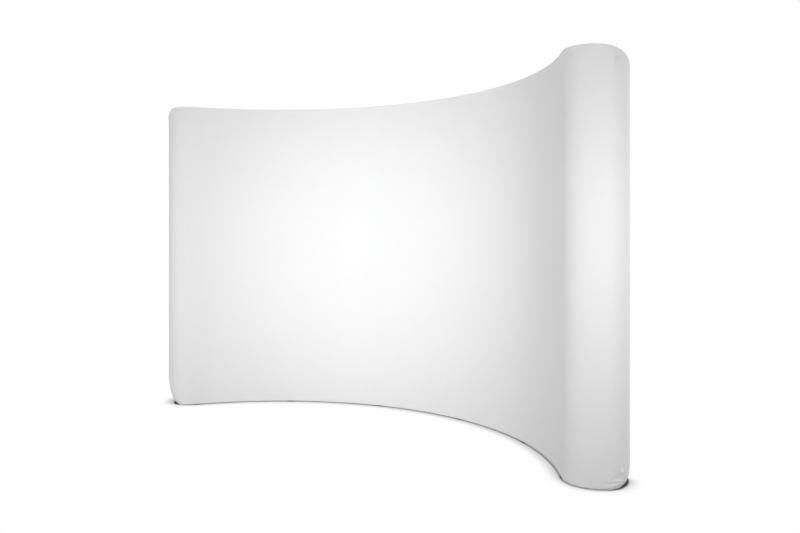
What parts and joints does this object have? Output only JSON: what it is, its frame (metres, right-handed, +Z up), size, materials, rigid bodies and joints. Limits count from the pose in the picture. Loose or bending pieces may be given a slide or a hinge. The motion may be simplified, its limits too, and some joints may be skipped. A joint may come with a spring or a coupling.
{
  "type": "pop up display backwall",
  "caption": "Free-standing curved display backwall: a white stretch cover with rounded ends over a folding scissor frame of paired uprights.",
  "frame": {"origin": "on the floor, at the middle of the bounding box", "axes": "+X to the viewer's right along the wall, +Y away from the viewer, +Z up"},
  "size_m": [3.6468, 1.125, 2.26],
  "materials": {
    "cover_cloth": "white knitted stretch polyester, matt",
    "upright_aluminium": "satin anodised",
    "arm_aluminium": "satin anodised tube with dark nylon ends",
    "hub_nylon": "moulded nylon, fine grain",
    "foot_rubber": "moulded rubber",
    "rivet_aluminium": "plain rivet with a nylon spacer",
    "bow_plastic": "flat spring strip, natural white"
  },
  "bodies": {
    "front_upright_1": {"front_bars_1": "upright_aluminium", "front_hubs_1": "hub_nylon", "front_foot_1": "foot_rubber", "cover_panel_1": "cover_cloth", "left_end_bows": "bow_plastic"},
    "rear_upright_1": {"rear_bars_1": "upright_aluminium", "rear_hubs_1": "hub_nylon", "rear_foot_1": "foot_rubber"},
    "front_upright_2": {"front_bars_2": "upright_aluminium", "front_hubs_2": "hub_nylon", "front_foot_2": "foot_rubber", "cover_panel_2": "cover_cloth"},
    "rear_upright_2": {"rear_bars_2": "upright_aluminium", "rear_hubs_2": "hub_nylon", "rear_foot_2": "foot_rubber"},
    "front_upright_3": {"front_bars_3": "upright_aluminium", "front_hubs_3": "hub_nylon", "front_foot_3": "foot_rubber", "cover_panel_3": "cover_cloth"},
    "rear_upright_3": {"rear_bars_3": "upright_aluminium", "rear_hubs_3": "hub_nylon", "rear_foot_3": "foot_rubber"},
    "front_upright_4": {"front_bars_4": "upright_aluminium", "front_hubs_4": "hub_nylon", "front_foot_4": "foot_rubber", "cover_panel_4": "cover_cloth"},
    "rear_upright_4": {"rear_bars_4": "upright_aluminium", "rear_hubs_4": "hub_nylon", "rear_foot_4": "foot_rubber"},
    "front_upright_5": {"front_bars_5": "upright_aluminium", "front_hubs_5": "hub_nylon", "front_foot_5": "foot_rubber", "cover_panel_5": "cover_cloth"},
    "rear_upright_5": {"rear_bars_5": "upright_aluminium", "rear_hubs_5": "hub_nylon", "rear_foot_5": "foot_rubber"},
    "front_upright_6": {"front_bars_6": "upright_aluminium", "front_hubs_6": "hub_nylon", "front_foot_6": "foot_rubber", "cover_panel_6": "cover_cloth", "right_end_bows": "bow_plastic"},
    "rear_upright_6": {"rear_bars_6": "upright_aluminium", "rear_hubs_6": "hub_nylon", "rear_foot_6": "foot_rubber"},
    "upper_arm_set_1": {"upper_arms_1": "arm_aluminium", "rivets_1": "rivet_aluminium"},
    "lower_arm_set_1": {"lower_arms_1": "arm_aluminium"},
    "upper_arm_set_2": {"upper_arms_2": "arm_aluminium", "rivets_2": "rivet_aluminium"},
    "lower_arm_set_2": {"lower_arms_2": "arm_aluminium"},
    "upper_arm_set_3": {"upper_arms_3": "arm_aluminium", "rivets_3": "rivet_aluminium"},
    "lower_arm_set_3": {"lower_arms_3": "arm_aluminium"},
    "upper_arm_set_4": {"upper_arms_4": "arm_aluminium", "rivets_4": "rivet_aluminium"},
    "lower_arm_set_4": {"lower_arms_4": "arm_aluminium"},
    "upper_arm_set_5": {"upper_arms_5": "arm_aluminium", "rivets_5": "rivet_aluminium"},
    "lower_arm_set_5": {"lower_arms_5": "arm_aluminium"}
  },
  "joints": [
    {"name": "fold", "type": "hinge", "parent": "front_upright_3", "child": "upper_arm_set_3", "pos_m": [-0.32743, 0.33998, 0.0675], "axis": [0, 0, 1], "range_deg": [0, 83.81], "deforming": ["cover_panel_1", "cover_panel_2", "cover_panel_3", "cover_panel_4", "cover_panel_5", "cover_panel_6"]},
    {"name": "crossing_3", "type": "hinge", "parent": "upper_arm_set_3", "child": "lower_arm_set_3", "pos_m": [0, 0.43885, 0.0675], "axis": [0, 0, 1], "range_deg": [-144.77, 0]},
    {"name": "front_left_pivot_4", "type": "hinge", "parent": "lower_arm_set_3", "child": "front_upright_4", "pos_m": [0.32743, 0.33998, 0.0525], "axis": [0, 0, 1], "range_deg": [0, 83.86]},
    {"name": "rear_left_pivot_4", "type": "hinge", "parent": "upper_arm_set_3", "child": "rear_upright_4", "pos_m": [0.3703, 0.55066, 0.0675], "axis": [0, 0, 1], "range_deg": [-60.96, 0]},
    {"name": "rear_right_pivot_3", "type": "hinge", "parent": "lower_arm_set_3", "child": "rear_upright_3", "pos_m": [-0.3703, 0.55066, 0.0525], "axis": [0, 0, 1], "range_deg": [0, 60.96]},
    {"name": "front_right_pivot_4", "type": "hinge", "parent": "front_upright_4", "child": "upper_arm_set_4", "pos_m": [0.38623, 0.32802, 0.0675], "axis": [0, 0, 1], "range_deg": [0, 83.86]},
    {"name": "crossing_4", "type": "hinge", "parent": "upper_arm_set_4", "child": "lower_arm_set_4", "pos_m": [0.72626, 0.29109, 0.0675], "axis": [0, 0, 1], "range_deg": [-144.77, 0]},
    {"name": "front_left_pivot_5", "type": "hinge", "parent": "lower_arm_set_4", "child": "front_upright_5", "pos_m": [0.98903, 0.07214, 0.0525], "axis": [0, 0, 1], "range_deg": [0, 83.86]},
    {"name": "rear_left_pivot_5", "type": "hinge", "parent": "upper_arm_set_4", "child": "rear_upright_5", "pos_m": [1.11081, 0.24933, 0.0675], "axis": [0, 0, 1], "range_deg": [-60.96, 0]},
    {"name": "front_right_pivot_5", "type": "hinge", "parent": "front_upright_5", "child": "upper_arm_set_5", "pos_m": [1.03848, 0.03816, 0.0675], "axis": [0, 0, 1], "range_deg": [0, 83.86]},
    {"name": "crossing_5", "type": "hinge", "parent": "upper_arm_set_5", "child": "lower_arm_set_5", "pos_m": [1.33705, -0.12869, 0.0675], "axis": [0, 0, 1], "range_deg": [-144.77, 0]},
    {"name": "front_left_pivot_6", "type": "hinge", "parent": "lower_arm_set_5", "child": "front_upright_6", "pos_m": [1.49338, -0.43291, 0.0525], "axis": [0, 0, 1], "range_deg": [0, 83.86]},
    {"name": "rear_left_pivot_6", "type": "hinge", "parent": "upper_arm_set_5", "child": "rear_upright_6", "pos_m": [1.67471, -0.31739, 0.0675], "axis": [0, 0, 1], "range_deg": [-60.96, 0]},
    {"name": "front_left_pivot_3", "type": "hinge", "parent": "front_upright_3", "child": "lower_arm_set_2", "pos_m": [-0.38623, 0.32802, 0.0525], "axis": [0, 0, 1], "range_deg": [-83.86, 0]},
    {"name": "crossing_2", "type": "hinge", "parent": "lower_arm_set_2", "child": "upper_arm_set_2", "pos_m": [-0.72626, 0.29109, 0.0675], "axis": [0, 0, 1], "range_deg": [0, 144.77]},
    {"name": "front_right_pivot_2", "type": "hinge", "parent": "upper_arm_set_2", "child": "front_upright_2", "pos_m": [-0.98903, 0.07214, 0.0675], "axis": [0, 0, 1], "range_deg": [-83.86, 0]},
    {"name": "rear_right_pivot_2", "type": "hinge", "parent": "lower_arm_set_2", "child": "rear_upright_2", "pos_m": [-1.11081, 0.24933, 0.0525], "axis": [0, 0, 1], "range_deg": [0, 60.96]},
    {"name": "front_left_pivot_2", "type": "hinge", "parent": "front_upright_2", "child": "lower_arm_set_1", "pos_m": [-1.03848, 0.03816, 0.0525], "axis": [0, 0, 1], "range_deg": [-83.86, 0]},
    {"name": "crossing_1", "type": "hinge", "parent": "lower_arm_set_1", "child": "upper_arm_set_1", "pos_m": [-1.33705, -0.12869, 0.0675], "axis": [0, 0, 1], "range_deg": [0, 144.77]},
    {"name": "front_right_pivot_1", "type": "hinge", "parent": "upper_arm_set_1", "child": "front_upright_1", "pos_m": [-1.49338, -0.43291, 0.0675], "axis": [0, 0, 1], "range_deg": [-83.86, 0]},
    {"name": "rear_right_pivot_1", "type": "hinge", "parent": "lower_arm_set_1", "child": "rear_upright_1", "pos_m": [-1.67471, -0.31739, 0.0525], "axis": [0, 0, 1], "range_deg": [0, 60.96]}
  ],
  "couplings": [
    {"joint": "crossing_3", "follows": "fold", "ratio": -1.7268},
    {"joint": "front_left_pivot_4", "follows": "fold", "ratio": 1},
    {"joint": "rear_left_pivot_4", "follows": "fold", "ratio": -0.72679},
    {"joint": "rear_right_pivot_3", "follows": "fold", "ratio": 0.72679},
    {"joint": "front_right_pivot_4", "follows": "fold", "ratio": 1},
    {"joint": "crossing_4", "follows": "fold", "ratio": -1.7268},
    {"joint": "front_left_pivot_5", "follows": "fold", "ratio": 1},
    {"joint": "rear_left_pivot_5", "follows": "fold", "ratio": -0.72679},
    {"joint": "front_right_pivot_5", "follows": "fold", "ratio": 1},
    {"joint": "crossing_5", "follows": "fold", "ratio": -1.7268},
    {"joint": "front_left_pivot_6", "follows": "fold", "ratio": 1},
    {"joint": "rear_left_pivot_6", "follows": "fold", "ratio": -0.72679},
    {"joint": "front_left_pivot_3", "follows": "fold", "ratio": -1},
    {"joint": "crossing_2", "follows": "fold", "ratio": 1.7268},
    {"joint": "front_right_pivot_2", "follows": "fold", "ratio": -1},
    {"joint": "rear_right_pivot_2", "follows": "fold", "ratio": 0.72679},
    {"joint": "front_left_pivot_2", "follows": "fold", "ratio": -1},
    {"joint": "crossing_1", "follows": "fold", "ratio": 1.7268},
    {"joint": "front_right_pivot_1", "follows": "fold", "ratio": -1},
    {"joint": "rear_right_pivot_1", "follows": "fold", "ratio": 0.72679}
  ]
}
